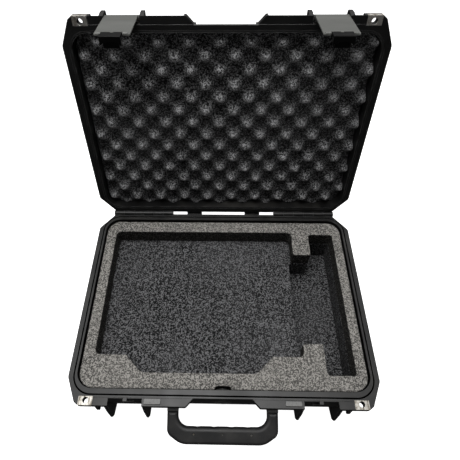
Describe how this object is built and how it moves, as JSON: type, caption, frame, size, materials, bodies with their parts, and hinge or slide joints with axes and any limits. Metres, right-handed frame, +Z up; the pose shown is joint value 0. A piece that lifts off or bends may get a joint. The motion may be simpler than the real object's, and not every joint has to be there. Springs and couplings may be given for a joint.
{
  "type": "laptop hard case",
  "caption": "Rugged moulded carrying case with hinged lid, trigger latches, folding handle, corner padlock holes, purge valve and cut foam insert.",
  "frame": {"origin": "middle of the case's underside, on the plane of the pads it stands on", "axes": "+X to the right across the width, +Y from the handle side to the hinge side, +Z up"},
  "size_m": [0.502, 0.5367, 0.4831],
  "materials": {
    "shell_polymer": "black copolymer, fine mould texture",
    "seal_rubber": "black rubber",
    "foam_insert": "grey cut foam",
    "foam_charcoal": "charcoal cut foam",
    "foam_peaks": "charcoal open-cell foam",
    "latch_grey": "satin grey polymer",
    "trigger_black": "black polymer",
    "plate_steel": "bright stainless steel",
    "pin_steel": "steel pin",
    "grip_rubber": "soft black grip",
    "handle_core": "black glass-filled polymer",
    "valve_polymer": "black polymer",
    "membrane": "white membrane"
  },
  "bodies": {
    "base": {"base_shell": "shell_polymer", "foam_floor": "foam_charcoal", "foam_middle": "foam_charcoal", "foam_top": "foam_insert", "valve_body": "valve_polymer", "valve_cap": "valve_polymer", "valve_nut": "valve_polymer", "valve_seal": "seal_rubber", "valve_membrane": "membrane", "base_padlock_plate_left": "plate_steel", "base_padlock_plate_right": "plate_steel", "hinge_pin_left": "pin_steel", "hinge_pin_right": "pin_steel", "handle_pin_left": "pin_steel", "handle_pin_right": "pin_steel"},
    "lid": {"lid_shell": "shell_polymer", "lid_gasket": "seal_rubber", "lid_foam": "foam_peaks", "lid_padlock_plate_left": "plate_steel", "lid_padlock_plate_right": "plate_steel", "latch_pin_left": "pin_steel", "latch_pin_right": "pin_steel"},
    "handle": {"handle_frame": "handle_core", "handle_grip": "grip_rubber", "grip_screw_left": "pin_steel", "grip_screw_middle": "pin_steel", "grip_screw_right": "pin_steel"},
    "latch_left": {"latch_body_left": "latch_grey", "trigger_pin_left": "pin_steel", "trigger_spring_left": "pin_steel"},
    "trigger_left": {"trigger_left": "trigger_black"},
    "latch_right": {"latch_body_right": "latch_grey", "trigger_pin_right": "pin_steel", "trigger_spring_right": "pin_steel"},
    "trigger_right": {"trigger_right": "trigger_black"}
  },
  "joints": [
    {"name": "lid_hinge", "type": "hinge", "parent": "base", "child": "lid", "pos_m": [0, 0.1892, 0.1039], "axis": [1, 0, 0], "range_deg": [0, 102.5]},
    {"name": "handle_pivot", "type": "hinge", "parent": "base", "child": "handle", "pos_m": [0, -0.17195, 0.085], "axis": [1, 0, 0], "range_deg": [-24, 58]},
    {"name": "latch_left_pivot", "type": "hinge", "parent": "lid", "child": "latch_left", "pos_m": [-0.1554, 0.28293, 0.46154], "axis": [-1, 0, 0], "range_deg": [0, 100]},
    {"name": "trigger_left_pivot", "type": "hinge", "parent": "latch_left", "child": "trigger_left", "pos_m": [-0.1554, 0.2115, 0.47754], "axis": [-1, 0, 0], "range_deg": [0, 16], "stiffness_Nm_per_rad": 0.06, "springref_deg": -11.46},
    {"name": "latch_right_pivot", "type": "hinge", "parent": "lid", "child": "latch_right", "pos_m": [0.1554, 0.28293, 0.46154], "axis": [-1, 0, 0], "range_deg": [0, 100]},
    {"name": "trigger_right_pivot", "type": "hinge", "parent": "latch_right", "child": "trigger_right", "pos_m": [0.1554, 0.2115, 0.47754], "axis": [-1, 0, 0], "range_deg": [0, 16], "stiffness_Nm_per_rad": 0.06, "springref_deg": -11.46}
  ]
}
